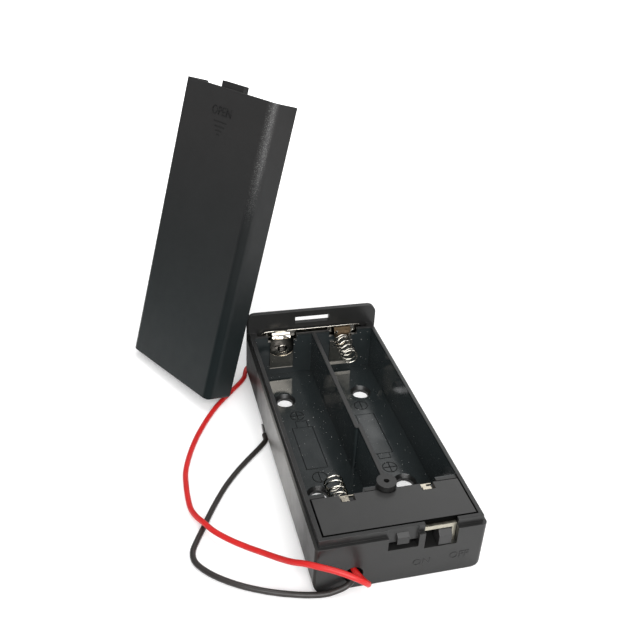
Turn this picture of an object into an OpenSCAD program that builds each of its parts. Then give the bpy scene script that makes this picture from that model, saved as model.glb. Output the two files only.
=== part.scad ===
// Holder for two cylindrical cells: an open tray with two bays, a switch
// compartment under its own plate, two leads, and a sliding cover taken off
// and stood beside the tray. Origin at the middle of the tray's underside,
// +Y toward the tall end wall, +Z up. Millimetres.

/* [Tray] */
// Width across both bays
tray_w = 46; // [45:1:48]
// Length between the outer end faces
tray_l = 99; // [98:1:104]
// Height of the ledge that the cover's rim sits on
ledge_z = 15.4; // [15:0.2:16]
// Height of the lip above that ledge
lip_rise = 2.2; // [2:0.1:2.4]
// Thickness of the floor
floor_t = 2; // [1.6:0.2:2.4]
// Radius of the long lower edges
edge_r = 3; // [2:0.5:3]
// Height of the tall end wall
end_h = 24.8; // [24:0.2:26]

/* [Bays] */
// Thickness of the divider between the bays
divider_t = 1.3; // [1:0.1:1.6]
// Radius of the mounting holes through the floor
mount_hole_r = 2.6; // [2:0.1:2.8]
// Spacing of the mounting holes across the tray
mount_dx = 26.6; // [24:0.2:27]
// Spacing of the mounting holes along the tray
mount_dy = 45.6; // [40:0.2:50]

/* [Contacts] */
// Thickness of the contact sheet
sheet_t = 0.35; // [0.3:0.05:0.5]
// Outer diameter of the coil springs
spring_d = 5.6; // [5:0.2:6]
// Diameter of the spring wire
wire_d = 0.5; // [0.4:0.1:0.6]

/* [Switch] */
// Travel of the slider from off to on
switch_travel = 3; // [2.5:0.1:3]

/* [Leads] */
// Outer diameter of the insulated leads
lead_d = 1.6; // [1.4:0.1:1.6]
// Length of the tinned tip of each lead
tip_l = 5; // [3:1:6]

/* [Cover] */
// Height of the cover from its rim to its outer face
cover_h = 9.3; // [9:0.1:9.6]
// Length of the cover without its tongue
cover_l = 97.2; // [96:0.2:97.4]
// Thickness of the cover's flat face
cover_top_t = 1.5; // [1.2:0.1:1.8]

/* [Hidden] */

$fn = 48;
plastic = [0.07, 0.07, 0.07];
nickel = [0.72, 0.69, 0.62];
eps = 0.01;
above = 40; // higher than every part of the tray

// walls and levels of the tray
near_y = -tray_l / 2;
far_y = tray_l / 2;
lip_z = ledge_z + lip_rise;
ledge_w = 1;
lip_t = 1.1;
wall_t = ledge_w + lip_t;
inner_x = tray_w / 2 - wall_t;
corner_r = 1.2;

// stations along the tray, from the near end to the far end
room_near_y = near_y + wall_t;
room_far_y = near_y + 16.2;
partition_t = 1.4;
bay_near_y = room_far_y + partition_t;
end_t = 1.7;
channel_far_y = far_y - end_t;
channel_near_y = channel_far_y - 2.1;
bay_far_y = channel_near_y - 1.1;

// openings and small features of the tray
partition_z = lip_z - 0.6;
partition_notch_z = 14.4;
far_notch_z = 15.4;
left_notch = [-16.1, -6.1];
right_notch = [5.6, 15.6];
near_left_notch = [-16.5, -5.6];
near_right_notch = [2.4, 14.8];
boss = [0.45, room_far_y + 0.4];
boss_r = 2.75;
boss_z = lip_z + 1.7;
boss_hole_r = 0.75;
boss_hole_depth = 7;
jog_y = -7.4; // where the divider steps sideways
far_divider_x = -0.7;
near_divider_x = 0.3;
mount_mid_y = 5.95;
mount_rim_r = 3.55;
slot_w = 12.1;
slot_z = [20.2, 22.6];
exit_hole = [-12.6, 4.8];
exit_hole_r = 2.6;
catch_x = [-4, 4.2];
catch_z = 11.3;
catch_depth = 1.2;
catch_window_z = 12.9;
peg_half_w = 1.6;
window_x = [5.9, 14.9];
window_z = 10.1;
shelf_x = [5.2, 15.5];
shelf_y = near_y + 6.5;

// plate over the switch compartment
plate_t = 1.5;
plate_gap = 0.25;
plate_far_y = room_far_y - 0.8;
plate_notch_y = plate_far_y - 2.4;
plate_ledge_w = 0.8;

// contacts
contact_z = 13.7; // height of the cells' axes
arm_r = 2.3; // inner radius of the bend at the top of each arm
strip_y = bay_far_y + 2.1;
strip_z = 18.25;
arm_bend_z = strip_z - arm_r - sheet_t;
left_arm_x = [-15.5, -7.3];
right_arm_x = [5.9, 14.1];
left_neck_x = [-14.6, -8.4];
right_neck_x = [7.4, 13.4];
shoulder_z = 13.6; // the arms are narrower above this height
arm_hole_d = 1;
disc_r = 4.1;
disc_rise = 0.8;
nub_r = 1.6;
nub_rise = 1.3;
hook_z = 17; // top of the straps in the plate's notches
hook_l = 1.6;
strap_cross_z = partition_notch_z + sheet_t;
left_strap_x = [-12.5, -10.5];
right_strap_x = [10.1, 12.5];
left_plate_x = [-15.2, -7.6];
right_plate_x = [6.4, 14];
plate_foot_z = 4;

// springs
far_spring_axis = [10.1, 13.6];
near_spring_axis = [-11.4, 12.6];
coil_r = (spring_d - wire_d) / 2;
steps_per_turn = 14;
seat_gap = 0.02;
far_spring_l = 11; // from the bay's end to the spring's free end
near_spring_l = 8.3;
far_turns = 6.5;
near_turns = 4.5;

// switch
shell_x = [5.9, 14.8];
shell_y = [near_y + 1.5, near_y + 5.7];
shell_z = [window_z, 16];
shell_t = 0.3;
shell_band = [1.1, 1.2]; // width of the shell's front at its right side and its top
knob_x = [9.9, 13.4];
knob_z = [window_z + 0.15, 14.6];
knob_front_z = 13.2; // the knob's top slopes down to this height at its front
knob_y = near_y + 0.2;
slide_gap = 0.15;
flange_l = 2.4; // depth of the slider, flange included
terminal_x = [7.9, 10.35, 12.8];
terminal_half_w = 0.6;
terminal_t = 0.4;

// routes of the leads, each from the exit hole to its free end
red_route = [[-12.3, -47.4, 5.6], [-12.3, -48.3, 5.6], [-11.8, -49.7, 5.3],
    [-10.9, -51.5, 5], [-10.4, -53.3, 5.5], [-10.5, -54.9, 6.9], [-11.6, -55.9, 8.8],
    [-13.7, -55.8, 10.5], [-16.6, -54.6, 11.6], [-19.6, -53, 12],
    [-22.6, -51.2, 11.9], [-25.4, -49.1, 11.3], [-28, -46.4, 9.6],
    [-30.6, -42.6, 7.4], [-33.8, -38.4, 5.6], [-37.5, -34.2, 4.2],
    [-41.4, -30, 3.4], [-44.8, -25.8, 2.9], [-47.1, -21.8, 2.6],
    [-48.7, -18.2, 1.7], [-49.8, -14, 0.9], [-50.1, -9, 0.8], [-50, -4, 0.8],
    [-49.6, 1, 0.8], [-48.4, 6, 0.8], [-46.7, 11.1, 0.8], [-44.5, 16.5, 0.8],
    [-42, 21.5, 0.8], [-39.2, 26.5, 0.8], [-36, 31.4, 0.8], [-32.5, 35.8, 0.8],
    [-28.9, 40, 0.8], [-26, 43.4, 0.8], [-24.2, 46.2, 0.8], [-23.3, 49, 0.8],
    [-22.2, 51.6, 0.8], [-19.8, 53.4, 0.8], [-16.4, 53.8, 0.8], [-12, 53.6, 0.8]];
black_route = [[-11.7, -47.4, 3.7], [-11.7, -48.1, 3.7], [-12.8, -49.8, 3.3], [-14.6, -50.8, 2.6],
    [-17, -51, 1.7], [-20.2, -50.8, 0.9], [-24, -50.2, 0.8], [-28.8, -48.9, 0.8],
    [-34.4, -46.8, 0.8], [-40.1, -43.9, 0.8], [-44.9, -40.6, 0.8],
    [-48.5, -37.2, 0.8], [-50.9, -33.6, 0.8], [-51.1, -30, 0.8],
    [-49.6, -26.4, 0.8], [-47.4, -22.2, 0.8], [-45.5, -18.4, 0.8],
    [-42.7, -13.3, 0.8], [-39.1, -7.4, 0.8], [-35.3, -2.3, 0.8], [-31.5, 2.1, 0.8],
    [-27.8, 6, 0.8], [-25.2, 8.8, 0.8], [-23.4, 11.3, 0.8], [-23.2, 14, 0.8]];

// wiring inside the compartment, measured from the near end and the contacts' tails
terminal_end_y = shelf_y + 3.4;
terminal_z = 12.4;
left_tail_y = room_far_y - 2.6;
right_tail_y = room_far_y - 3.1;
tail_z = 8;
black_joint = [-11.2, left_tail_y, 12];
jumper_joint = [11.4, right_tail_y, 9.1];
joint_r = 0.9;
joint_l = 0.7;
red_inner_route = [red_route[0], [-12.3, near_y + 3.1, 5.6], [-11.8, near_y + 5, 6.4],
    [-9.6, near_y + 7.2, 7.8], [-6, near_y + 8.8, 9.2], [-1.6, near_y + 9.9, 10.4],
    [2.8, near_y + 11.3, 11.4], [5.8, terminal_end_y + 3.6, 12.2],
    [7.6, terminal_end_y + 3, terminal_z + 0.2], [terminal_x[0], terminal_end_y + 1.8, terminal_z + 0.2],
    [terminal_x[0], terminal_end_y + joint_l, terminal_z + 0.2]];
black_inner_route = [black_route[0], [-11.7, near_y + 3.1, 3.7], [-11.5, near_y + 5.6, 3.8],
    [-11.2, near_y + 8, 4.8], [-11.2, near_y + 9.2, 7], [-11.2, near_y + 9.8, 9.4],
    [-11.2, left_tail_y - 3.4, 11.4], [-11.2, left_tail_y - 2.1, 12], [-11.2, left_tail_y - joint_l, 12]];
jumper_route = [[terminal_x[1], terminal_end_y - 1, terminal_z - joint_l],
    [terminal_x[1], terminal_end_y - 1, 11], [terminal_x[1] + 0.2, terminal_end_y - 0.4, 9.8],
    [10.9, right_tail_y - 2.6, 9.2], [11.4, right_tail_y - 1.6, 9.1],
    [11.4, right_tail_y - joint_l, 9.1]];

// cover, taken off: it stands on its closed end, leaning back
cover_turn = [72.068, -2.35, -61.422];
cover_place = [-42.34, 53.87, 0.95];
cover_side_t = 0.9;
tongue_x = [-6, 5.2];
tongue_z = [5.1, 6.9];
tongue_l = 1.9;
tongue_root_l = 6.2;
tongue_groove_l = 1.7;

// ---- shared shapes ------------------------------------------------------

// Box between two corners
module box(a, b) {
    translate(a) cube(b - a);
}

// Upright outline whose two lower corners are round
module cradle_outline(w, h, r) {
    translate([-w / 2, r]) square([w, h - r]);
    translate([r - w / 2, 0]) square([w - 2 * r, r + eps]);
    for (s = [-1, 1]) translate([s * (w / 2 - r), r]) circle(r);
}

// Rectangle with four round corners
module rounded_plan(w, l, r) {
    square([w - 2 * r, l], center = true);
    square([w, l - 2 * r], center = true);
    for (sx = [-1, 1], sy = [-1, 1])
        translate([sx * (w / 2 - r), sy * (l / 2 - r)]) circle(r);
}

// Upright outline pushed along Y, from y0 to y1
module along_y(y0, y1) {
    translate([0, y1, 0]) rotate([90, 0, 0]) linear_extrude(y1 - y0) children();
}

// Profile drawn in (y, z), pushed along X between x[0] and x[1]
module along_x(x) {
    translate([x[0], 0, 0]) rotate([90, 0, 90]) linear_extrude(x[1] - x[0]) children();
}

function unit(v) = v / norm(v);
function heading(p, i) = unit(p[min(i + 1, len(p) - 1)] - p[max(i - 1, 0)]);
function ring(p, i, r, ref, n) =
    let (t = heading(p, i), u = unit(cross(ref, t)), v = cross(t, u))
    [for (k = [0:n - 1]) p[i] + r * (cos(360 * k / n) * u + sin(360 * k / n) * v)];

// Round tube swept along a list of points
module sweep(path, r, ref = [0, 0, 1], n = 8) {
    last = len(path) - 1;
    points = [for (i = [0:last]) each ring(path, i, r, ref, n)];
    sides = [for (i = [0:last - 1], k = [0:n - 1], half = [0, 1])
        let (a = i * n + k, d = i * n + (k + 1) % n)
        half == 0 ? [a, a + n, d + n] : [a, d + n, d]];
    start = [[for (k = [0:n - 1]) k]];
    end = [[for (k = [n - 1:-1:0]) last * n + k]];
    polyhedron(points, concat(start, sides, end), convexity = 8);
}

// Centre line of a coil round an axis along Y; pitch is eased at both ends
function coil(axis, y0, y1, turns) =
    [for (i = [0:turns * steps_per_turn])
        let (s = i / (turns * steps_per_turn), a = 360 * turns * s)
        [axis[0] + coil_r * cos(a), y0 + (y1 - y0) * (s - 0.09 * sin(360 * s)),
            axis[1] + coil_r * sin(a)]];

// ---- tray ---------------------------------------------------------------

module tray_blank() {
    intersection() {
        union() {
            along_y(near_y, far_y) cradle_outline(tray_w, ledge_z, edge_r);
            box([ledge_w - tray_w / 2, near_y + ledge_w, ledge_z - 1],
                [tray_w / 2 - ledge_w, channel_far_y + eps, lip_z]);
            along_y(channel_far_y, far_y)
                translate([0, end_h]) mirror([0, 1]) cradle_outline(tray_w, end_h, edge_r);
        }
        linear_extrude(above) rounded_plan(tray_w, tray_l, corner_r);
        along_y(near_y, far_y) cradle_outline(tray_w, above, edge_r);
    }
}

module tray_rooms() {
    box([-inner_x, room_near_y, floor_t], [inner_x, room_far_y, above]);
    box([-inner_x, bay_near_y, floor_t], [inner_x, bay_far_y, above]);
    box([-19.6, channel_near_y, 8], [19.6, channel_far_y, above]);
    for (x = [left_notch, right_notch])
        box([x[0], bay_far_y - eps, far_notch_z], [x[1], channel_near_y + eps, above]);
    box([-inner_x, room_far_y - eps, partition_z], [inner_x, bay_near_y + eps, above]);
    for (x = [near_left_notch, near_right_notch])
        box([x[0], room_far_y - eps, partition_notch_z], [x[1], bay_near_y + eps, above]);
}

module divider() {
    far_mid = far_divider_x + divider_t / 2;
    box([far_divider_x, jog_y, floor_t - eps], [far_divider_x + divider_t, bay_far_y + eps, lip_z]);
    translate([far_mid, jog_y, floor_t - eps]) cylinder(r = divider_t / 2, h = lip_z - floor_t + eps);
    box([near_divider_x, boss[1], floor_t - eps], [near_divider_x + divider_t, jog_y + 1, lip_z]);
}

module plate_ledges() {
    for (s = [-1, 1])
        translate([s * (inner_x - plate_ledge_w / 2), (room_near_y + room_far_y) / 2,
            (lip_z - plate_t + 12) / 2])
            cube([plate_ledge_w + 2 * eps, room_far_y - room_near_y + 2 * eps,
                lip_z - plate_t - 12], center = true);
}

module catch_peg() {
    back_y = near_y + catch_depth + eps;
    front_y = near_y + 0.2;
    along_x([-peg_half_w, peg_half_w])
        polygon([[back_y, 16], [front_y, 14.9], [front_y, 12.8], [back_y, 12.4]]);
}

module near_wall_cuts() {
    box([catch_x[0], near_y - 1, catch_z], [catch_x[1], near_y + catch_depth, above]);
    box([catch_x[0], near_y - 1, catch_z], [catch_x[1], room_near_y + 1, catch_window_z]);
    box([window_x[0], near_y - 1, window_z], [window_x[1], room_near_y + eps, above]);
    translate([exit_hole[0], room_near_y + 1, exit_hole[1]])
        rotate([90, 0, 0]) cylinder(r = exit_hole_r, h = wall_t + 2);
}

module floor_holes() {
    for (sx = [-1, 1], sy = [-1, 1])
        translate([sx * mount_dx / 2, mount_mid_y + sy * mount_dy / 2, 0]) {
            translate([0, 0, -1]) cylinder(r = mount_hole_r, h = floor_t + 2);
            translate([0, 0, floor_t - 1])
                cylinder(r1 = mount_hole_r, r2 = mount_rim_r, h = 1 + eps);
        }
}

module tray() {
    color(plastic)
    difference() {
        union() {
            difference() {
                tray_blank();
                tray_rooms();
                near_wall_cuts();
            }
            divider();
            plate_ledges();
            catch_peg();
            translate([boss[0], boss[1], floor_t - eps]) cylinder(r = boss_r, h = boss_z - floor_t);
            box([shelf_x[0], room_near_y - eps, floor_t - eps], [shelf_x[1], shelf_y, window_z]);
        }
        floor_holes();
        translate([boss[0], boss[1], boss_z - boss_hole_depth])
            cylinder(r = boss_hole_r, h = boss_hole_depth + 1);
        box([-slot_w / 2, channel_far_y - 1, slot_z[0]], [slot_w / 2, far_y + 1, slot_z[1]]);
    }
}

// Plate that closes the switch compartment, cut out round the boss
module compartment_plate() {
    half_w = inner_x - plate_gap;
    color(plastic)
    difference() {
        box([-half_w, room_near_y + plate_gap, lip_z - plate_t], [half_w, plate_far_y, lip_z]);
        translate([boss[0], boss[1], 0]) cylinder(r = boss_r + plate_gap, h = above);
        for (x = [[-12.9, -9], [9.6, 13.3]])
            box([x[0], plate_notch_y, 0], [x[1], plate_far_y + 1, above]);
    }
}

// ---- cover --------------------------------------------------------------

// Cross-section of the cover or of its hollow, rim at z = 0
module cover_outline(w, h, r) {
    translate([0, h]) mirror([0, 1]) cradle_outline(w, h, r);
}

module tongue() {
    root_y = cover_l - tongue_root_l;
    box([tongue_x[0], root_y, tongue_z[0]], [tongue_x[1], cover_l + tongue_l, tongue_z[1]]);
    box([tongue_x[0], root_y, tongue_z[0]],
        [tongue_x[1], cover_l - tongue_groove_l, cover_h - cover_top_t + eps]);
}

module cover() {
    inner_w = tray_w - 2 * cover_side_t;
    color(plastic)
    translate(cover_place) rotate(cover_turn) {
        difference() {
            intersection() {
                along_y(0, cover_l) cover_outline(tray_w, cover_h, edge_r);
                translate([0, cover_l, -1]) linear_extrude(cover_h + 2)
                    rounded_plan(tray_w, 2 * cover_l, corner_r);
            }
            translate([0, 0, -1]) along_y(cover_side_t, cover_l + 1)
                cover_outline(inner_w, cover_h - cover_top_t + 1, edge_r - cover_side_t);
        }
        tongue();
    }
}

// ---- contacts -----------------------------------------------------------

// One arm of the bridge: up the bay's end face and back over it to the strip
module bridge_arm(x, neck_x, foot_z) {
    back = strip_y;
    box([x[0], back - arm_r - sheet_t, foot_z], [x[1], back - arm_r, shoulder_z]);
    box([neck_x[0], back - arm_r - sheet_t, foot_z + 1], [neck_x[1], back - arm_r, arm_bend_z + eps]);
    translate([neck_x[0], back, arm_bend_z]) rotate([90, 0, 90]) linear_extrude(neck_x[1] - neck_x[0])
        intersection() {
            difference() {
                circle(arm_r + sheet_t);
                circle(arm_r);
            }
            translate([-arm_r - 1, 0]) square(arm_r + 1);
        }
}

module bridge_contact() {
    face_y = strip_y - arm_r - sheet_t;
    color(nickel) {
        translate([0, strip_y, 0]) along_y(-eps, sheet_t) difference() {
            translate([-19.2, 9]) square([37.2, strip_z - 9]);
            for (c = [[-19.2, 3.4, 1], [18, 2, -1]])
                translate([c[0], strip_z]) difference() {
                    square(2 * c[1], center = true);
                    translate([c[2] * c[1], -c[1]]) circle(c[1]);
                }
        }
        bridge_arm(left_arm_x, left_neck_x, 4.7);
        difference() {
            bridge_arm(right_arm_x, right_neck_x, 3.7);
            translate([right_arm_x[0] + 1.3, strip_y, shoulder_z - 2]) rotate([90, 0, 0])
                cylinder(d = arm_hole_d, h = 2 * arm_r);
        }
        translate([-11.4, face_y + eps, contact_z]) rotate([90, 0, 0]) {
            translate([0, 0, -sheet_t]) cylinder(r = disc_r, h = sheet_t + eps);
            cylinder(r1 = disc_r, r2 = nub_r + 0.8, h = disc_rise);
            cylinder(r1 = nub_r, r2 = nub_r - 0.5, h = nub_rise);
        }
    }
}

// Contact on the near partition: plate in the bay, strap across the partition,
// hook up into the notch of the compartment's plate, tail
module near_contact(plate_x, strap_x, end_y) {
    face_y = bay_near_y + sheet_t;
    rise_y = end_y + hook_l;
    box([plate_x[0], bay_near_y, plate_foot_z], [plate_x[1], face_y, strap_cross_z]);
    box([strap_x[0], rise_y - sheet_t, partition_notch_z], [strap_x[1], face_y, strap_cross_z]);
    box([strap_x[0], rise_y - sheet_t, partition_notch_z], [strap_x[1], rise_y, hook_z]);
    box([strap_x[0], end_y, hook_z - sheet_t], [strap_x[1], rise_y, hook_z]);
    box([strap_x[0], end_y, tail_z], [strap_x[1], end_y + sheet_t, hook_z]);
}

module negative_contact() {
    color(nickel) near_contact(left_plate_x, left_strap_x, left_tail_y);
}

module positive_contact() {
    button_z = 11;
    button_rise = 0.9;
    color(nickel) {
        near_contact(right_plate_x, right_strap_x, right_tail_y);
        translate([(right_plate_x[0] + right_plate_x[1]) / 2, bay_near_y + sheet_t - eps, button_z])
            rotate([-90, 0, 0]) cylinder(r1 = nub_r, r2 = nub_r - 0.5, h = button_rise);
    }
}

module far_spring() {
    seat_y = strip_y - arm_r - sheet_t - wire_d / 2 - seat_gap;
    color(nickel)
        sweep(coil(far_spring_axis, seat_y, bay_far_y - far_spring_l, far_turns), wire_d / 2, [0, 1, 0], 6);
}

module near_spring() {
    seat_y = bay_near_y + sheet_t + wire_d / 2 + seat_gap;
    color(nickel)
        sweep(coil(near_spring_axis, seat_y, bay_near_y + near_spring_l, near_turns), wire_d / 2,
            [0, 1, 0], 6);
}

// ---- switch -------------------------------------------------------------

module switch_shell() {
    color([0.78, 0.75, 0.66])
    difference() {
        box([shell_x[0], shell_y[0], shell_z[0]], [shell_x[1], shell_y[1], shell_z[1]]);
        box([shell_x[0] + shell_t, shell_y[0] + shell_t, shell_z[0] - 1],
            [shell_x[1] - shell_t, shell_y[1] + 1, shell_z[1] - shell_t]);
        box([shell_x[0] + shell_t, shell_y[0] - 1, shell_z[0] - 1],
            [shell_x[1] - shell_band[0], shell_y[0] + 1, shell_z[1] - shell_band[1]]);
    }
}

module switch_base() {
    color(plastic)
        box([shell_x[0], shell_y[1], shell_z[0]], [shell_x[1], shelf_y, shell_z[1]]);
}

module switch_slider() {
    color(plastic) {
        along_x(knob_x) polygon([[knob_y, knob_z[0]], [knob_y, knob_front_z],
            [shell_y[0] - slide_gap, knob_z[1]], [shell_y[0] + flange_l, knob_z[1]],
            [shell_y[0] + flange_l, knob_z[0]]]);
        box([knob_x[0], shell_y[0] + shell_t + slide_gap, knob_z[0]],
            [knob_x[1], shell_y[0] + flange_l, shell_z[1] - shell_t - slide_gap]);
    }
}

module switch_wiper() {
    color(nickel)
        box([knob_x[0] + shell_t, shell_y[0] + flange_l, terminal_z],
            [knob_x[1] - shell_t, shell_y[1] - 0.5, terminal_z + 1]);
}

module switch_terminal(i) {
    color(nickel)
        box([terminal_x[i] - terminal_half_w, shelf_y, terminal_z],
            [terminal_x[i] + terminal_half_w, terminal_end_y, terminal_z + terminal_t]);
}

// ---- leads --------------------------------------------------------------

module lead(route, hue, ref = [0, 0, 1]) {
    color(hue) sweep(route, lead_d / 2, ref);
}

// Tinned end that carries on straight from the last point of a route
module lead_tip(route) {
    last = len(route) - 1;
    run = heading(route, last);
    turn = atan2(run[1], run[0]);
    color(nickel) translate(route[last]) rotate([0, 90, turn]) cylinder(r = 0.45, h = tip_l, $fn = 24);
}

module solder_joints() {
    color([0.75, 0.75, 0.75]) {
        translate([terminal_x[0], terminal_end_y, terminal_z + 0.2])
            rotate([-90, 0, 0]) cylinder(r = joint_r, h = joint_l);
        translate([terminal_x[1], terminal_end_y - 1, terminal_z - joint_l])
            cylinder(r = joint_r, h = joint_l);
        for (joint = [black_joint, jumper_joint])
            translate(joint) rotate([90, 0, 0]) cylinder(r = joint_r, h = joint_l);
    }
}

tray();
cover();
compartment_plate();
bridge_contact();
far_spring();
near_spring();
negative_contact();
positive_contact();
switch_shell();
switch_base();
switch_slider();
switch_wiper();
switch_terminal(0);  // switch_terminal_1
switch_terminal(1);  // switch_terminal_2
switch_terminal(2);  // switch_terminal_3
lead(red_route, "red");  // red_lead
lead(black_route, "black");  // black_lead
lead_tip(red_route);  // red_lead_tip
lead_tip(black_route);  // black_lead_tip
lead(red_inner_route, "red");  // red_lead_inner
lead(black_inner_route, "black");  // black_lead_inner
lead(jumper_route, "red", [1, 0, 0]);  // jumper_wire
solder_joints();
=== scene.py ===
import math

import bmesh
import bpy
from mathutils import Matrix, Vector


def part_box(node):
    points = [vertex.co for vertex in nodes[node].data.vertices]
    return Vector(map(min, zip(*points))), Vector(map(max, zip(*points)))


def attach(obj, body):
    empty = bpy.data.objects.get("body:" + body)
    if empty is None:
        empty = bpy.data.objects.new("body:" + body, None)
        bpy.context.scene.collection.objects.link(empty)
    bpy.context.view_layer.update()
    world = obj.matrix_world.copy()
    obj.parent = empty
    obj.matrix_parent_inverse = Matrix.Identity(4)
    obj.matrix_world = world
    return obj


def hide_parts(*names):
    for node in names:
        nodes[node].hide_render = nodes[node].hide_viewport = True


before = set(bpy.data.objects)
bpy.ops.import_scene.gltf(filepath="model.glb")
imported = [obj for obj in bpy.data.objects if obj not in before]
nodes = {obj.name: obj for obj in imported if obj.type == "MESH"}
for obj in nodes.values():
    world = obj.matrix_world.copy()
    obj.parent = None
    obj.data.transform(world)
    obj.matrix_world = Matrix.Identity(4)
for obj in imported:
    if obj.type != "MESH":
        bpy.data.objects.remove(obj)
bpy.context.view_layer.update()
MM = 0.001


def mm(*values):
    """A point given in millimetres, as a vector in metres."""
    return Vector(values) * MM


def box_mm(node):
    """A CAD node's lowest and highest corners, in millimetres."""
    return [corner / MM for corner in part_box(node)]


# ---- sizes and places, in millimetres -----------------------------------------
# x runs across the two bays, y towards the tall end wall and z up.

TRAY_LOW = box_mm("tray")[0]
PLATE_LOW, PLATE_HIGH = box_mm("compartment_plate")
INNER_X = 20.9
FLOOR_TOP = 2
LIP_Z = 17.6
BAY_NEAR_Y = -31.9
BAY_FAR_Y = 44.6
STEP_Y = -7.4
LEFT_ARM_X = -11.4
COVER_H = 9.3
COVER_AXES = (Matrix.Translation(mm(-42.34, 53.87, 0.95))
              @ Matrix.Rotation(math.radians(-61.422), 4, "Z")
              @ Matrix.Rotation(math.radians(-2.35), 4, "Y")
              @ Matrix.Rotation(math.radians(72.068), 4, "X"))

# ---- camera -------------------------------------------------------------------

CAMERA_PLACE = (-63.217, -181.509, 165.405)
CAMERA_AZIMUTH = -16.07
CAMERA_ELEVATION = 31.26
CAMERA_ROLL = 3.19
CAMERA_LENS = 45.05
CAMERA_SENSOR = 36


def make_camera():
    """The photo's camera, from its place and its angles in degrees."""
    azimuth = math.radians(CAMERA_AZIMUTH)
    elevation = math.radians(CAMERA_ELEVATION)
    roll = math.radians(CAMERA_ROLL)
    back = Vector((math.sin(azimuth) * math.cos(elevation), -math.cos(azimuth) * math.cos(elevation),
                   math.sin(elevation)))
    level = Vector((0, 0, 1)).cross(back).normalized()
    upward = back.cross(level)
    right = level * math.cos(roll) + upward * math.sin(roll)
    top = upward * math.cos(roll) - level * math.sin(roll)
    data = bpy.data.cameras.new("camera")
    data.sensor_width = CAMERA_SENSOR
    data.lens = CAMERA_LENS
    camera = bpy.data.objects.new("camera", data)
    turn = Matrix((right, top, back)).transposed().to_4x4()
    camera.matrix_world = Matrix.Translation(mm(*CAMERA_PLACE)) @ turn
    bpy.context.scene.collection.objects.link(camera)
    bpy.context.scene.camera = camera


# ---- leads --------------------------------------------------------------------

LEAD_D = 1.6
LEAD_STEPS = 6
LEAD_SIDES = 16
RED_ROUTE = [(-12.3, -47.4, 5.6), (-12.3, -48.3, 5.6), (-11.8, -49.7, 5.3), (-10.9, -51.5, 5),
             (-10.4, -53.3, 5.5), (-10.5, -54.9, 6.9), (-11.6, -55.9, 8.8), (-13.7, -55.8, 10.5),
             (-16.6, -54.6, 11.6), (-19.6, -53, 12), (-22.6, -51.2, 11.9), (-25.4, -49.1, 11.3),
             (-28, -46.4, 9.6), (-30.6, -42.6, 7.4), (-33.8, -38.4, 5.6), (-37.5, -34.2, 4.2),
             (-41.4, -30, 3.4), (-44.8, -25.8, 2.9), (-47.1, -21.8, 2.6), (-48.7, -18.2, 1.7),
             (-49.8, -14, 0.9), (-50.1, -9, 0.8), (-50, -4, 0.8), (-49.6, 1, 0.8), (-48.4, 6, 0.8),
             (-46.7, 11.1, 0.8), (-44.5, 16.5, 0.8), (-42, 21.5, 0.8), (-39.2, 26.5, 0.8),
             (-36, 31.4, 0.8), (-32.5, 35.8, 0.8), (-28.9, 40, 0.8), (-26, 43.4, 0.8),
             (-24.2, 46.2, 0.8), (-23.3, 49, 0.8), (-22.2, 51.6, 0.8), (-19.8, 53.4, 0.8),
             (-16.4, 53.8, 0.8), (-12, 53.6, 0.8)]
BLACK_ROUTE = [(-11.7, -47.4, 3.7), (-11.7, -48.1, 3.7), (-12.8, -49.8, 3.3), (-14.6, -50.8, 2.6),
               (-17, -51, 1.7), (-20.2, -50.8, 0.9), (-24, -50.2, 0.8), (-28.8, -48.9, 0.8),
               (-34.4, -46.8, 0.8), (-40.1, -43.9, 0.8), (-44.9, -40.6, 0.8), (-48.5, -37.2, 0.8),
               (-50.9, -33.6, 0.8), (-51.1, -30, 0.8), (-49.6, -26.4, 0.8), (-47.4, -22.2, 0.8),
               (-45.5, -18.4, 0.8), (-42.7, -13.3, 0.8), (-39.1, -7.4, 0.8), (-35.3, -2.3, 0.8),
               (-31.5, 2.1, 0.8), (-27.8, 6, 0.8), (-25.2, 8.8, 0.8), (-23.4, 11.3, 0.8),
               (-23.2, 14, 0.8)]


def spline(points, steps):
    """Catmull-Rom points through the given ones, steps to a stretch."""
    result = []
    last = len(points) - 1
    for i in range(last):
        before, start, end, after = (points[max(i - 1, 0)], points[i], points[i + 1],
                                     points[min(i + 2, last)])
        for k in range(steps):
            t = k / steps
            result.append(0.5 * (2 * start + (end - before) * t
                                 + (2 * before - 5 * start + 4 * end - after) * t ** 2
                                 + (3 * start - before - 3 * end + after) * t ** 3))
    result.append(points[last])
    return result


def solid(name, shape):
    """Turn a bmesh into an object in the scene."""
    bmesh.ops.recalc_face_normals(shape, faces=shape.faces)
    data = bpy.data.meshes.new(name)
    shape.to_mesh(data)
    shape.free()
    piece = bpy.data.objects.new(name, data)
    bpy.context.scene.collection.objects.link(piece)
    return piece


def join_rings(shape, rings):
    """Smooth faces between closed rings of as many vertices each."""
    sides = len(rings[0])
    for a, b in zip(rings, rings[1:]):
        for k in range(sides):
            shape.faces.new((a[k], a[(k + 1) % sides], b[(k + 1) % sides], b[k])).smooth = True


def tube(name, centres, radius, sides):
    """A smooth round tube along a line of centres, closed at both ends."""
    shape = bmesh.new()
    last = len(centres) - 1
    across = Vector((0.3, 0.2, 1))  # any direction that the line doesn't start along
    rings = []
    for i, centre in enumerate(centres):
        along = (centres[min(i + 1, last)] - centres[max(i - 1, 0)]).normalized()
        across = (across - along * across.dot(along)).normalized()
        other = along.cross(across)
        rings.append([shape.verts.new(centre + radius * (math.cos(2 * math.pi * k / sides) * across
                                                         + math.sin(2 * math.pi * k / sides) * other))
                      for k in range(sides)])
    join_rings(shape, rings)
    shape.faces.new(rings[0][::-1])
    shape.faces.new(rings[last])
    return solid(name, shape)


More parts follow.
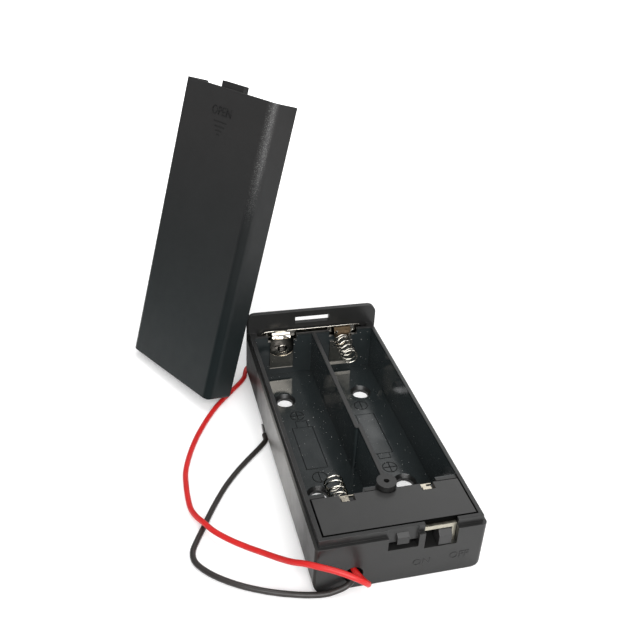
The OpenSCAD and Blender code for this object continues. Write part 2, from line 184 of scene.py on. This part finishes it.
def make_lead(colour, route):
    """The insulated part of a lead; its bare tip is a CAD node."""
    centres = spline([mm(*p) for p in route], LEAD_STEPS)
    lead = tube(colour + "_lead_soft", centres, LEAD_D * MM / 2, LEAD_SIDES)
    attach(lead, "housing")
    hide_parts(colour + "_lead")
    return lead


make_camera()
red_lead = make_lead("red", RED_ROUTE)
black_lead = make_lead("black", BLACK_ROUTE)

# ---- shader nodes ---------------------------------------------------------------

BEVEL_SAMPLES = 6
NOISE_LOW = 0.3
NOISE_HIGH = 0.7


class Graph:
    """A small helper that adds shader nodes to a material or a world and links them."""

    def __init__(self, owner, output="ShaderNodeOutputMaterial"):
        owner.use_nodes = True
        self.owner = owner
        self.tree = owner.node_tree
        self.tree.nodes.clear()
        self.output = self.add(output)

    def add(self, kind, **settings):
        node = self.tree.nodes.new(kind)
        for key, value in settings.items():
            setattr(node, key, value)
        return node

    def fill(self, socket, value):
        """Link an output to a socket, or set a number, a vector or a colour on it."""
        if isinstance(value, bpy.types.NodeSocket):
            self.tree.links.new(value, socket)
        elif socket.type == "RGBA":
            socket.default_value = (*value, 1)
        else:
            socket.default_value = value

    def place(self):
        """The shaded point, in metres."""
        return self.add("ShaderNodeTexCoord").outputs["Object"]

    def axes(self, point):
        node = self.add("ShaderNodeSeparateXYZ")
        self.fill(node.inputs[0], point)
        return node.outputs

    def noise(self, scale, detail=3):
        """Cloudy noise; scale is its cells to a metre."""
        node = self.add("ShaderNodeTexNoise")
        self.fill(node.inputs["Scale"], scale)
        self.fill(node.inputs["Detail"], detail)
        self.fill(node.inputs["Vector"], self.place())
        return node.outputs["Fac"]

    def span(self, value, low, high, start=0, end=1):
        """A value from start to end becomes one from low to high."""
        node = self.add("ShaderNodeMapRange")
        self.fill(node.inputs["From Min"], start)
        self.fill(node.inputs["From Max"], end)
        self.fill(node.inputs["To Min"], low)
        self.fill(node.inputs["To Max"], high)
        self.fill(node.inputs["Value"], value)
        return node.outputs["Result"]

    def fade(self, axis, start, end, low=0, high=1):
        """From low to high between two places on an axis, in millimetres."""
        return self.span(axis, low, high, start * MM, end * MM)

    def patches(self, scale, low, high, detail=3):
        """A number that wanders between low and high."""
        return self.span(self.noise(scale, detail), low, high, NOISE_LOW, NOISE_HIGH)

    def mottle(self, scale, dark, light):
        """A colour that wanders between dark and light."""
        return self.mix(self.noise(scale), dark, light)

    def mix(self, factor, a, b):
        node = self.add("ShaderNodeMix", data_type="RGBA")
        self.fill(node.inputs["Factor"], factor)
        self.fill(node.inputs[6], a)
        self.fill(node.inputs[7], b)
        return node.outputs[2]

    def mix_value(self, factor, a, b):
        node = self.add("ShaderNodeMix", data_type="FLOAT")
        self.fill(node.inputs["Factor"], factor)
        self.fill(node.inputs[2], a)
        self.fill(node.inputs[3], b)
        return node.outputs[0]

    def math(self, operation, a, b=0):
        node = self.add("ShaderNodeMath", operation=operation)
        self.fill(node.inputs[0], a)
        self.fill(node.inputs[1], b)
        return node.outputs[0]

    def times(self, first, *others):
        """The product of all the values."""
        for other in others:
            first = self.math("MULTIPLY", first, other)
        return first

    def within(self, box):
        """1 inside the box given by two corners in millimetres, 0 outside."""
        inside = []
        for axis, low, high in zip(self.axes(self.place()), *box):
            away = self.math("ABSOLUTE", self.math("SUBTRACT", axis, (low + high) / 2 * MM))
            inside.append(self.math("LESS_THAN", away, (high - low) / 2 * MM))
        return self.times(*inside)

    def edge(self, radius):
        """The surface's normal with its edges rounded by a radius in millimetres."""
        node = self.add("ShaderNodeBevel", samples=BEVEL_SAMPLES)
        self.fill(node.inputs["Radius"], radius * MM)
        return node.outputs["Normal"]

    def bump(self, height, strength, depth, normal=None):
        """The normal over relief that is depth millimetres deep."""
        node = self.add("ShaderNodeBump")
        self.fill(node.inputs["Strength"], strength)
        self.fill(node.inputs["Distance"], depth * MM)
        self.fill(node.inputs["Height"], height)
        if normal is not None:
            self.fill(node.inputs["Normal"], normal)
        return node.outputs["Normal"]

    def principled(self, values):
        """Finish a material as a principled surface with these values in its sockets."""
        shader = self.add("ShaderNodeBsdfPrincipled")
        for name, value in values.items():
            self.fill(shader.inputs[name], value)
        return self.finish(shader.outputs["BSDF"])

    def finish(self, shader):
        self.fill(self.output.inputs["Surface"], shader)
        return self.owner


def new_graph(name):
    """The empty graph of a new material."""
    return Graph(bpy.data.materials.new(name))


def grey(level):
    return (level, level, level)


# ---- plastics -------------------------------------------------------------------
# Scales are in cells to a metre, and radii and depths in millimetres.

TONE_SCALE = 120
BAY_TONE_SCALE = 90
# Cells to a metre of the painted reflection on the tray's left side.
LEFT_REFLECTION_SCALE = 200
SHINE_SCALE = 260
BAY_SHINE_SCALE = 140
DUST_SCALE = 2300
SPECK_SCALE = 3600
RIPPLE_SCALE = 60
RIPPLE_DEPTH = 0.6
GRAIN_SCALE = 5200
GRAIN_DEPTH = 0.04
MOULDED_EDGE = 0.22
TRAY_EDGE = 0.14
SKIN_TONE_SCALE = 300
SKIN_SHINE_SCALE = 500
SKIN_GRAIN_SCALE = 1800
PLASTIC_IOR = 1.5

# Where a shade changes: boxes between two corners, and how far in the left side reaches
PLATE_FACE = ((PLATE_LOW.x + 0.25, PLATE_LOW.y + 0.25, 10), (PLATE_HIGH.x - 0.2, 0, 22))
BAYS = ((-INNER_X - 0.3, BAY_NEAR_Y - 0.3, FLOOR_TOP - 0.1), (INNER_X + 0.3, BAY_FAR_Y + 0.4, LIP_Z - 0.3))
# Painted light: a lighter tone on these two walls lifts their shade.
RIGHT_WALL = ((INNER_X - 0.6, -32, 2.6), (INNER_X + 0.5, 44, 17))
NEAR_DIVIDER = ((-0.3, -32, 2.6), (0.6, STEP_Y - 0.6, 16.8))
STEP_CORNER = ((-1.2, STEP_Y - 1.8, 2.4), (2.5, STEP_Y + 1.6, 17))
FAR_NOTCHES = ((-16, 44, 12), (16, 48, 18.2))
LEFT_SIDE_X = TRAY_LOW.x + 0.6


def plastic(g, tone, rough, shine, normal):
    """Finish a material as moulded plastic."""
    return g.principled({"Base Color": tone, "Roughness": rough, "IOR": PLASTIC_IOR,
                         "Specular IOR Level": shine, "Normal": normal})


def moulded(g, grain):
    """The normal of a moulding: soft edges and a fine grain of this strength."""
    return g.bump(g.noise(GRAIN_SCALE, 2), grain, GRAIN_DEPTH, g.edge(MOULDED_EDGE))


def black_plastic(name, dark, light, rough, grain, shine=0.5):
    """Plain plastic: two greys, a roughness range and the strength of the fine grain."""
    g = new_graph(name)
    tone = g.mottle(TONE_SCALE, grey(dark), grey(light))
    return plastic(g, tone, g.patches(SHINE_SCALE, *rough), shine, moulded(g, grain))


def cover_plastic():
    """The cover: painted lighter towards its top; its long edge has painted glints above and is dark
    below.
    """
    g = new_graph("cover_plastic")
    turned = g.add("ShaderNodeMapping", vector_type="TEXTURE")
    g.fill(turned.inputs["Location"], COVER_AXES.translation)
    g.fill(turned.inputs["Rotation"], COVER_AXES.to_euler())
    g.fill(turned.inputs["Vector"], g.place())
    across, along, up = g.axes(turned.outputs[0])
    upper = g.fade(along, 20, 85)
    long_edge = g.times(g.fade(across, 19.6, 20.7), g.fade(across, 22.5, 23, 1, 0), g.fade(up, 6.8, 7.6))

    # Painted light: the cover's tone grows lighter towards its top.
    lower_tone = g.mottle(TONE_SCALE, (0.0085, 0.0118, 0.0125), (0.0115, 0.0152, 0.016))
    upper_tone = g.mottle(TONE_SCALE, (0.022, 0.0215, 0.0215), (0.026, 0.0255, 0.0255))
    # Painted highlight: pale specks in the colour stand in for glints on the upper long edge.
    specks = g.span(g.noise(SPECK_SCALE, 1), 0, 1, 0.56, 0.64)
    painted_edge_glints = g.times(specks, g.fade(along, 58, 80, 0, 0.45), long_edge)
    painted_glint_tone = g.mix(upper, (0.2, 0.2, 0.195), (0.24, 0.24, 0.235))
    tone = g.mix(painted_edge_glints, g.mix(upper, lower_tone, upper_tone), painted_glint_tone)

    face_shine = g.fade(along, 5, 90, 0.3, 0.5)
    edge_shine = g.fade(along, 62, 80, 0.02, 0.5)
    shine = g.mix_value(long_edge, face_shine, edge_shine)
    return plastic(g, tone, g.patches(SHINE_SCALE, 0.42, 0.5), shine, moulded(g, 0.3))


def plate_plastic():
    """The compartment plate; its outline is painted near-black as the shadow of the gap round it."""
    g = new_graph("plate_plastic")
    face = g.within(PLATE_FACE)
    # Painted shadow: outside its face the plate is near-black with little shine, as the gap's shadow.
    tone = g.mix(face, grey(0.001), g.mottle(TONE_SCALE, (0.022, 0.022, 0.0215), (0.028, 0.028, 0.0275)))
    return plastic(g, tone, g.patches(SHINE_SCALE, 0.28, 0.36), g.span(face, 0.02, 0.5), moulded(g, 0.25))


def tray_plastic():
    """The tray: satin outside, paler on its left from a painted reflection of the floor, and glossy inside
    the bays with a little dust.
    """
    g = new_graph("tray_plastic")
    x, y, _ = g.axes(g.place())
    inside = g.within(BAYS)
    left_side = g.math("LESS_THAN", x, LEFT_SIDE_X * MM)
    # Painted reflection: the left side is paler where it would mirror the floor, most along its middle.
    left_reflection_fade = g.times(g.fade(y, 0, 29, 1, 0.014), g.fade(y, -38, -14, 0.1, 1))

    outer_tone = g.mottle(TONE_SCALE, (0.011, 0.0112, 0.011), (0.016, 0.016, 0.0155))
    bay_tone = g.mottle(BAY_TONE_SCALE, (0.0135, 0.018, 0.0188), (0.0175, 0.0225, 0.0235))
    # Painted light: a lighter copy of the bay tone on the right bay's right wall and the near part of the
    # divider.
    lit_wall_tone = g.mottle(BAY_TONE_SCALE, (0.024, 0.031, 0.0325), (0.03, 0.0375, 0.039))
    left_reflection_tone = g.mottle(LEFT_REFLECTION_SCALE, (0.17, 0.165, 0.155), (0.2, 0.194, 0.182))
    painted_light_walls = g.math("MAXIMUM", g.within(RIGHT_WALL), g.within(NEAR_DIVIDER))
    tone = g.mix(painted_light_walls, g.mix(inside, outer_tone, bay_tone), lit_wall_tone)
    # Painted reflection of the floor on the tray's left side.
    tone = g.mix(g.times(left_side, left_reflection_fade), tone, left_reflection_tone)
    dust = g.times(g.span(g.noise(DUST_SCALE, 0), 0, 1, 0.845, 0.86), inside)
    tone = g.mix(dust, tone, g.mix(dust, (0.3, 0.3, 0.29), (0.4, 0.4, 0.38)))

    satin = g.patches(SHINE_SCALE, 0.28, 0.35)
    glossy = g.times(g.patches(BAY_SHINE_SCALE, 0.12, 0.26), g.fade(y, 18, 34, 1, 0.5))
    shine = g.mix_value(left_side, g.span(g.within(STEP_CORNER), 0.5, 0.4), left_reflection_fade)

    hollow = g.math("MAXIMUM", inside, g.within(FAR_NOTCHES))
    flat = g.add("ShaderNodeNewGeometry").outputs["Normal"]
    edges = g.mix(hollow, g.edge(TRAY_EDGE), flat)
    ripple = g.bump(g.noise(RIPPLE_SCALE, 2), 0.35, RIPPLE_DEPTH, edges)
    normal = g.bump(g.noise(GRAIN_SCALE, 2), 0.12, GRAIN_DEPTH, ripple)
    return plastic(g, tone, g.mix_value(inside, satin, glossy), shine, normal)


def insulation(name, dark, light):
    """The soft, slightly rough skin of a lead."""
    g = new_graph(name)
    return g.principled({
        "Base Color": g.mottle(SKIN_TONE_SCALE, dark, light),
        "Roughness": g.patches(SKIN_SHINE_SCALE, 0.32, 0.45, detail=2),
        "Normal": g.bump(g.noise(SKIN_GRAIN_SCALE, 2), 0.2, GRAIN_DEPTH),
    })


# ---- metals ---------------------------------------------------------------------

METAL_TONE_SCALE = 400
METAL_SHINE_SCALE = 700
METAL_GRAIN_SCALE = 1500
METAL_GRAIN_DEPTH = 0.05
BEND_SHADE_SCALE = 500
SHEET_EDGE = 0.08
DULL_SHARE = 0.82
# Painted shade: the box over the right-hand bend that is painted dark brown.
SHADED_BEND = ((7, 43, 15.3), (14, 46.6, 19))
BAY_PLATES = ((-16, 43, 5), (16, 44.6, 15))
PLATE_LEAN = (0, 0, -0.19)


def metal(g, tone, rough, grain, normal):
    """Finish a material as metal sheet or wire with a grain of this strength."""
    relief = g.bump(g.noise(METAL_GRAIN_SCALE, 2), grain, METAL_GRAIN_DEPTH, normal)
    return g.principled({"Base Color": tone, "Metallic": 1, "Roughness": rough, "Normal": relief})


def plated(name, tint, rough_low, rough_high):
    """Plating whose tint and polish vary a little."""
    g = new_graph(name)
    tone = g.mottle(METAL_TONE_SCALE, tuple(c * DULL_SHARE for c in tint), tint)
    return metal(g, tone, g.patches(METAL_SHINE_SCALE, rough_low, rough_high), 0.15, g.edge(SHEET_EDGE))


def leaning(g, normal):
    """The normal, tipped down a little over the plates that stand in the bays."""
    lean = g.add("ShaderNodeVectorMath", operation="SCALE")
    g.fill(lean.inputs[0], PLATE_LEAN)
    g.fill(lean.inputs["Scale"], g.within(BAY_PLATES))
    tipped = g.add("ShaderNodeVectorMath", operation="ADD")
    g.fill(tipped.inputs[0], normal)
    g.fill(tipped.inputs[1], lean.outputs[0])
    unit = g.add("ShaderNodeVectorMath", operation="NORMALIZE")
    g.fill(unit.inputs[0], tipped.outputs[0])
    return unit.outputs[0]


def bridge_metal():
    """Nickel that is dull over the right-hand bend, with painted brown shade there."""
    g = new_graph("bridge_metal")
    # Painted shade: dark brown in mottled patches over the right-hand bend, with a dull finish.
    bend_shade = g.within(SHADED_BEND)
    clean = g.mottle(METAL_TONE_SCALE, (0.66, 0.62, 0.55), (0.76, 0.71, 0.63))
    shade_mottle = g.span(g.noise(BEND_SHADE_SCALE), 0, 1, 0.4, 0.6)
    brown = g.mix(shade_mottle, (0.018, 0.0125, 0.008), (0.085, 0.06, 0.036))
    polished = g.patches(METAL_SHINE_SCALE, 0.09, 0.15)
    dull = g.patches(METAL_SHINE_SCALE, 0.4, 0.5)
    return metal(g, g.mix(bend_shade, clean, brown), g.mix_value(bend_shade, polished, dull), 0.06,
                 leaning(g, g.edge(SHEET_EDGE)))


# ---- looks ----------------------------------------------------------------------

tray_black = tray_plastic()
cover_black = cover_plastic()
plate_black = plate_plastic()
# Painted shade: the OPEN letters and the bay marks are near-black copies of the plastic, standing in for
# their shadows.
shaded_word_black = black_plastic("word_plastic", 0.003, 0.005, (0.6, 0.7), 0.1)
shaded_mark_black = black_plastic("mark_plastic", 0.002, 0.003, (0.5, 0.6), 0.1, shine=0.25)
faint_black = black_plastic("faint_plastic", 0.009, 0.012, (0.42, 0.5), 0.1)
knob_black = black_plastic("knob_plastic", 0.02, 0.028, (0.35, 0.45), 0.2)
nickel = plated("nickel_plating", (0.6, 0.55, 0.46), 0.1, 0.2)
# Painted shade: a darker copy of the nickel for the disc and dome of the left plate, whose bend is plain
# nickel.
shaded_nickel = plated("shaded_nickel", (0.4, 0.37, 0.33), 0.08, 0.14)
spring_wire = plated("spring_wire", (0.72, 0.69, 0.62), 0.06, 0.12)
shell_metal = plated("switch_metal", (0.6, 0.57, 0.47), 0.3, 0.42)
solder = plated("solder_metal", (0.7, 0.7, 0.7), 0.25, 0.4)
red_skin = insulation("red_insulation", (0.5, 0.008, 0.008), (0.6, 0.014, 0.012))
black_skin = insulation("black_insulation", (0.014, 0.011, 0.010), (0.022, 0.018, 0.016))

LOOKS = {
    "tray": tray_black, "cover": cover_black, "compartment_plate": plate_black,
    "bridge_contact": bridge_metal(), "far_spring": spring_wire, "near_spring": spring_wire,
    "negative_contact": nickel, "positive_contact": nickel, "switch_shell": shell_metal,
    "switch_base": knob_black, "switch_slider": knob_black, "switch_wiper": nickel,
    "switch_terminal_1": nickel, "switch_terminal_2": nickel, "switch_terminal_3": nickel,
    "red_lead": red_skin, "black_lead": black_skin, "red_lead_tip": solder, "black_lead_tip": solder,
    "red_lead_inner": red_skin, "black_lead_inner": black_skin, "jumper_wire": red_skin,
    "solder_joints": solder,
}


def dress(piece, material):
    """Give a piece this one material."""
    piece.data.materials.clear()
    piece.data.materials.append(material)


def fit(piece, material):
    """Fix a piece to the housing and give it its slot and material."""
    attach(piece, "housing")
    dress(piece, material)


for name, material in LOOKS.items():
    dress(nodes[name], material)
dress(red_lead, red_skin)
dress(black_lead, black_skin)

# ---- springs --------------------------------------------------------------------

# A closed turn's pitch in wire widths, and how many turns are closed at each end
CLOSED_PITCH = 1.1
SEAT_TURNS = 0.75
FREE_TURNS = 1
COIL_STEPS = 24
WIRE_SIDES = 8


def coil_centres(axis, seat_y, free_y, turns, radius, wire_d, start):
    """Centre line of a coil along Y whose ends are closed."""
    side = 1 if free_y > seat_y else -1
    closed = CLOSED_PITCH * wire_d
    closed_turns = SEAT_TURNS + FREE_TURNS
    active = (abs(free_y - seat_y) - closed_turns * closed) / (turns - closed_turns)
    centres = []
    reach = 0
    for i in range(int(turns * COIL_STEPS) + 1):
        turn = i / COIL_STEPS
        angle = 2 * math.pi * (turn + start)
        centres.append(mm(axis.x + radius * math.cos(angle), seat_y + side * reach,
                          axis.z + radius * math.sin(angle)))
        pitch = closed if turn < SEAT_TURNS or turn > turns - FREE_TURNS else active
        reach += pitch / COIL_STEPS
    return centres


def make_spring(node, seat_y, free_y, turns, wire_d, start):
    """A coil in place of the CAD's, on its axis and as wide; start is where it begins, in turns."""
    low, high = box_mm(node)
    radius = (high.x - low.x - wire_d) / 2
    centres = coil_centres((low + high) / 2, seat_y, free_y, turns, radius, wire_d, start)
    spring = tube(node + "_wire", centres, wire_d * MM / 2, WIRE_SIDES)
    fit(spring, spring_wire)
    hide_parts(node)


make_spring("far_spring", 43.7, 33.6, turns=5.4, wire_d=0.44, start=0.1)
make_spring("near_spring", -31.2, -23.6, turns=4.6, wire_d=0.5, start=0.35)

# ---- far contact ----------------------------------------------------------------

DISC_R = 5.6
DISC_Z = 15.25
DISC_TOP_Z = 17.2
DISC_HALF_W = 4.05
DISC_Y = 44.02
DISC_RISE = 1.1
NUB_R = 1.5
NUB_Y = 43.1
NUB_Z = 13.5
BEND_R = 4.7
BEND_HALF_W = 3.1
BEND_Y = 48
BEND_Z = 13.9
BEND_START = -14
BEND_SWEEP = 88
CORNER_BACK = 0.75
CORNER_DROP = 0.3
STRIP_Y = 46.87
STRIP_EDGE = [(-19.1, 15.2), (-18.6, 16.6), (-17.4, 17.7), (-15.8, 18.2), (-6, 18.2), (6, 18.2),
              (15.6, 18.2), (17.2, 17.7), (17.9, 16.4)]


def sheet(name, rows, material):
    """A smooth open sheet through rows of points in millimetres."""
    shape = bmesh.new()
    grid = [[shape.verts.new(mm(*point)) for point in row] for row in rows]
    for a, b in zip(grid, grid[1:]):
        for k in range(len(a) - 1):
            shape.faces.new((a[k], b[k], b[k + 1], a[k + 1])).smooth = True
    fit(solid(name, shape), material)


def pressed_disc(columns=20, steps=12):
    """The shallow disc of the left plate, cut off by the plate's straight sides."""
    rows = []
    for k in range(columns + 1):
        u = DISC_HALF_W * (2 * k / columns - 1)
        foot = DISC_Z - math.sqrt(DISC_R ** 2 - u ** 2)
        row = []
        for i in range(steps + 1):
            z = foot + (DISC_TOP_Z - foot) * i / steps
            height = max(1 - (u ** 2 + (z - DISC_Z) ** 2) / DISC_R ** 2, 0)
            row.append((LEFT_ARM_X + u, DISC_Y - DISC_RISE * height, z))
        rows.append(row)
    sheet("left_disc", rows, shaded_nickel)


def rounded_bend(columns=16, steps=14):
    """The broad, polished bend over which the left arm turns back to the strip."""
    rows = []
    for i in range(steps + 1):
        angle = math.radians(BEND_START + BEND_SWEEP * i / steps)
        row = []
        for k in range(columns + 1):
            u = 2 * k / columns - 1
            corner = abs(u) ** 5
            row.append((LEFT_ARM_X + BEND_HALF_W * u,
                        BEND_Y - BEND_R * math.cos(angle) + CORNER_BACK * corner,
                        BEND_Z + BEND_R * math.sin(angle) - CORNER_DROP * corner))
        rows.append(row)
    sheet("left_bend", rows, nickel)


def dome_profile(base, rise, nub, nub_rise, steps=10):
    """Radii and heights of a rounded cone whose middle stands up in a nub; the last is its tip."""
    profile = [(base, -0.3), (base, 0)]
    for k in range(1, steps + 1):
        t = k / steps
        profile.append((base + (nub - base) * t, rise * (1.25 * t - 0.25 * t ** 2)))
    for k in range(1, steps):
        angle = math.pi / 2 * k / steps
        profile.append((nub * math.cos(angle), rise + nub_rise * math.sin(angle)))
    profile.append((0, rise + nub_rise))
    return profile


def lathe(name, centre, profile, material, sides=40):
    """A surface turned round an axis along -Y; the profile is (radius, height) up to a tip."""
    shape = bmesh.new()
    x, y, z = centre
    angles = [2 * math.pi * k / sides for k in range(sides)]
    rings = [[shape.verts.new(mm(x + radius * math.cos(a), y - height, z + radius * math.sin(a)))
              for a in angles] for radius, height in profile[:-1]]
    join_rings(shape, rings)
    tip = shape.verts.new(mm(x, y - profile[-1][1], z))
    for k in range(sides):
        shape.faces.new((rings[-1][k], rings[-1][(k + 1) % sides], tip)).smooth = True
    fit(solid(name, shape), material)


def wire(name, points, diameter, material, steps=6):
    """A round wire through a few points, in millimetres."""
    piece = tube(name, spline([mm(*p) for p in points], steps), diameter * MM / 2, WIRE_SIDES)
    fit(piece, material)


def lower_rim(radius, y, z, reach):
    """The lower part of a ring on the left arm, reach tenths of a radian to each side."""
    return [(LEFT_ARM_X + radius * math.sin(a / 10), y, z - radius * math.cos(a / 10))
            for a in range(-reach, reach + 1)]


pressed_disc()
lathe("left_dome", (LEFT_ARM_X, NUB_Y, NUB_Z),
      dome_profile(base=1.75, rise=0.12, nub=NUB_R, nub_rise=0.4), shaded_nickel)
rounded_bend()
wire("dome_rim", lower_rim(DISC_R, DISC_Y - 0.04, DISC_Z, 8), 0.12, nickel)
wire("nub_rim", lower_rim(NUB_R + 0.1, NUB_Y - 0.15, NUB_Z, 10), 0.16, nickel)
wire("spring_tail_right", [(12.4, 43.8, 15.6), (12.9, 43.9, 16.6), (13.5, 44, 17.5), (13.9, 44.1, 18)],
     0.42, spring_wire)
wire("bend_corner_left", [(7.6, 44.2, 17), (7.8, 43.7, 17.5), (8.1, 43.4, 18)], 0.6, spring_wire)
wire("bend_corner_right", [(13.1, 44, 17.2), (13, 43.5, 17.7), (13.2, 43.3, 18.1)], 0.6, spring_wire)
wire("spring_tail_left", [(8, 43.8, 16.4), (7.7, 43.9, 17), (7.5, 44, 17.5)], 0.42, spring_wire)
wire("strip_edge", [(x, STRIP_Y, z) for x, z in STRIP_EDGE], 0.26, spring_wire, steps=5)

# ---- markings -------------------------------------------------------------------

COVER_FACE = COVER_AXES @ Matrix.Translation(mm(0, 0, COVER_H))
FLOOR_FACE = Matrix.Translation(mm(0, 0, FLOOR_TOP))
NEAR_FACE = Matrix.Translation(mm(0, TRAY_LOW.y, 0)) @ Matrix.Rotation(math.radians(90), 4, "X")
RISE = 0.06
FAINT_RISE = 0.03
BAY_LINE_W = 0.23
ARROW_LINE_W = 0.5
ARROW_BARS = [(3.4, 86.7), (2.7, 85.2), (1.7, 83.9), (0.9, 82.7)]
SIGN_R = 2.2
SIGN_ARM = 2


def strokes(name, lines, width, face, material, rise=RISE):
    """Raised lines on a face; each line is a list of (x, y) points in millimetres."""
    shape = bmesh.new()
    for line in lines:
        left, right = [], []
        last = len(line) - 1
        for i, point in enumerate(line):
            run = Vector(line[min(i + 1, last)]) - Vector(line[max(i - 1, 0)])
            side = Vector((-run.y, run.x)).normalized() * width / 2
            for edge, sign in ((left, 1), (right, -1)):
                flat = Vector(point) + sign * side
                edge.append([shape.verts.new(face @ mm(flat.x, flat.y, z)) for z in (-RISE, rise)])
        for i in range(last):
            a, b, c, d = left[i], left[i + 1], right[i + 1], right[i]
            for quad in ((a[1], d[1], c[1], b[1]), (a[0], a[1], b[1], b[0]), (d[0], c[0], c[1], d[1])):
                shape.faces.new(quad)
        for i in (0, last):
            shape.faces.new((left[i][0], right[i][0], right[i][1], left[i][1]))
    fit(solid(name, shape), material)


def ring_line(centre, radius, count=28):
    """A closed ring of points round a centre."""
    return [(centre[0] + radius * math.cos(2 * math.pi * k / count),
             centre[1] + radius * math.sin(2 * math.pi * k / count)) for k in range(count + 1)]


def polarity(centre, plus):
    """A ringed plus or minus; the minus lies along the bay."""
    x, y = centre
    lines = [ring_line(centre, SIGN_R), [(x, y - SIGN_ARM), (x, y + SIGN_ARM)]]
    if plus:
        lines.append([(x - SIGN_ARM, y), (x + SIGN_ARM, y)])
    return lines


def cell_outline(x0, x1, y0, y1, nub_x, nub_y):
    """Outline of a cell with its raised end at nub_y."""
    near_nub = y1 if nub_y > y1 else y0
    return [[(x0, y0), (x0, y1), (x1, y1), (x1, y0), (x0, y0)],
            [(nub_x[0], near_nub), (nub_x[0], nub_y), (nub_x[1], nub_y), (nub_x[1], near_nub)]]


def lettering(name, words, size, place, face, material, rise):
    """Raised lettering centred at a place on a face."""
    data = bpy.data.curves.new(name + "_outline", "FONT")
    data.body = words
    data.size = size * MM
    data.align_x = "CENTER"
    data.align_y = "CENTER"
    data.extrude = rise * MM
    data.resolution_u = 3
    source = bpy.data.objects.new(name + "_outline", data)
    bpy.context.scene.collection.objects.link(source)
    graph = bpy.context.evaluated_depsgraph_get()
    mesh = bpy.data.meshes.new_from_object(source.evaluated_get(graph))
    bpy.data.objects.remove(source)
    mesh.transform(face @ Matrix.Translation(mm(place[0], place[1], 0)))
    mesh.name = name
    piece = bpy.data.objects.new(name, mesh)
    bpy.context.scene.collection.objects.link(piece)
    fit(piece, material)


strokes("left_bay_marks", polarity((-11.2, 19.8), True) + polarity((-11.1, -9.9), False)
        + cell_outline(-14.2, -7.6, -6, 13.7, (-12.5, -8.9), 16.9), BAY_LINE_W, FLOOR_FACE, shaded_mark_black)
strokes("right_bay_marks", polarity((11.1, 21.3), False) + polarity((10.9, -9.8), True)
        + cell_outline(7.8, 14, -3.3, 16.5, (9, 12.7), -5.6), BAY_LINE_W, FLOOR_FACE, shaded_mark_black)
strokes("slide_arrow", [[(-half, y), (half, y)] for half, y in ARROW_BARS], ARROW_LINE_W, COVER_FACE,
        faint_black, FAINT_RISE)
lettering("open_word", "OPEN", 3.9, (-0.2, 89.9), COVER_FACE, shaded_word_black, 0.16)
lettering("on_word", "ON", 3.2, (5.8, 5.2), NEAR_FACE, faint_black, 0.08)
lettering("off_word", "OFF", 3.2, (16.2, 5.6), NEAR_FACE, faint_black, 0.08)

# ---- floor and light ------------------------------------------------------------
# The paper's size and the distances from the middle of the tray are in metres.

FLOOR_SIZE = 4
PAPER_WHITE = 0.9
PAPER_EDGE_SHADE = 0.12
PAPER_NEAR = 0.1
PAPER_FAR = 0.3
PAPER_GLOW = 0.17
GLOW_NEAR = 0.12
GLOW_FAR = 0.45
HORIZON = 0.12
ZENITH = 0.6
WHITE = (1, 1, 1)


def make_floor():
    """White paper; away from the object it is dark to everything but the camera."""
    bpy.ops.mesh.primitive_plane_add(size=FLOOR_SIZE, location=(0, 0, 0))
    floor = bpy.context.object
    floor.name = "floor"
    g = new_graph("floor_paper")
    reach = g.add("ShaderNodeVectorMath", operation="LENGTH")
    g.fill(reach.inputs[0], g.place())
    distance = reach.outputs["Value"]
    camera_ray = g.add("ShaderNodeLightPath").outputs["Is Camera Ray"]
    shade = g.span(distance, PAPER_WHITE, PAPER_EDGE_SHADE, PAPER_NEAR, PAPER_FAR)
    tone = g.math("MAXIMUM", shade, g.times(camera_ray, PAPER_WHITE))
    colour = g.add("ShaderNodeCombineColor")
    for socket in colour.inputs[:3]:
        g.fill(socket, tone)
    paper = g.add("ShaderNodeBsdfDiffuse")
    g.fill(paper.inputs["Color"], colour.outputs[0])
    glow = g.add("ShaderNodeEmission")
    g.fill(glow.inputs["Strength"],
           g.times(camera_ray, g.span(distance, PAPER_GLOW, 1, GLOW_NEAR, GLOW_FAR)))
    both = g.add("ShaderNodeAddShader")
    g.fill(both.inputs[0], paper.outputs[0])
    g.fill(both.inputs[1], glow.outputs[0])
    dress(floor, g.finish(both.outputs[0]))


def make_world():
    """White to the camera; to everything else dim at the horizon and bright overhead."""
    world = bpy.data.worlds.new("world")
    bpy.context.scene.world = world
    g = Graph(world, "ShaderNodeOutputWorld")
    seen = g.add("ShaderNodeBackground")
    g.fill(seen.inputs["Color"], WHITE)
    height = g.axes(g.add("ShaderNodeTexCoord").outputs["Generated"])["Z"]
    lit = g.add("ShaderNodeBackground")
    g.fill(lit.inputs["Color"], WHITE)
    g.fill(lit.inputs["Strength"], g.span(height, HORIZON, ZENITH))
    choose = g.add("ShaderNodeMixShader")
    g.fill(choose.inputs["Fac"], g.add("ShaderNodeLightPath").outputs["Is Camera Ray"])
    g.fill(choose.inputs[1], lit.outputs[0])
    g.fill(choose.inputs[2], seen.outputs[0])
    g.finish(choose.outputs[0])


def area_light(name, place, size, power):
    """A rectangular light that faces the middle of the tray; metres and watts."""
    data = bpy.data.lights.new(name, "AREA")
    data.shape = "RECTANGLE"
    data.size = size[0]
    data.size_y = size[1]
    data.energy = power
    light = bpy.data.objects.new(name, data)
    light.location = place
    light.rotation_euler = (-Vector(place)).to_track_quat("-Z", "Y").to_euler()
    bpy.context.scene.collection.objects.link(light)


bpy.context.scene.view_settings.view_transform = "Standard"
make_floor()
make_world()
area_light("front", (-0.15, -0.8, 0.55), (0.9, 0.8), 11)
area_light("back_right", (0.43, 0.64, 0.5), (0.4, 0.4), 0.7)
area_light("overhead", (0.1, 0.15, 0.9), (0.5, 0.5), 2.5)
area_light("side", (0.6, -0.35, 0.45), (0.3, 0.3), 1)
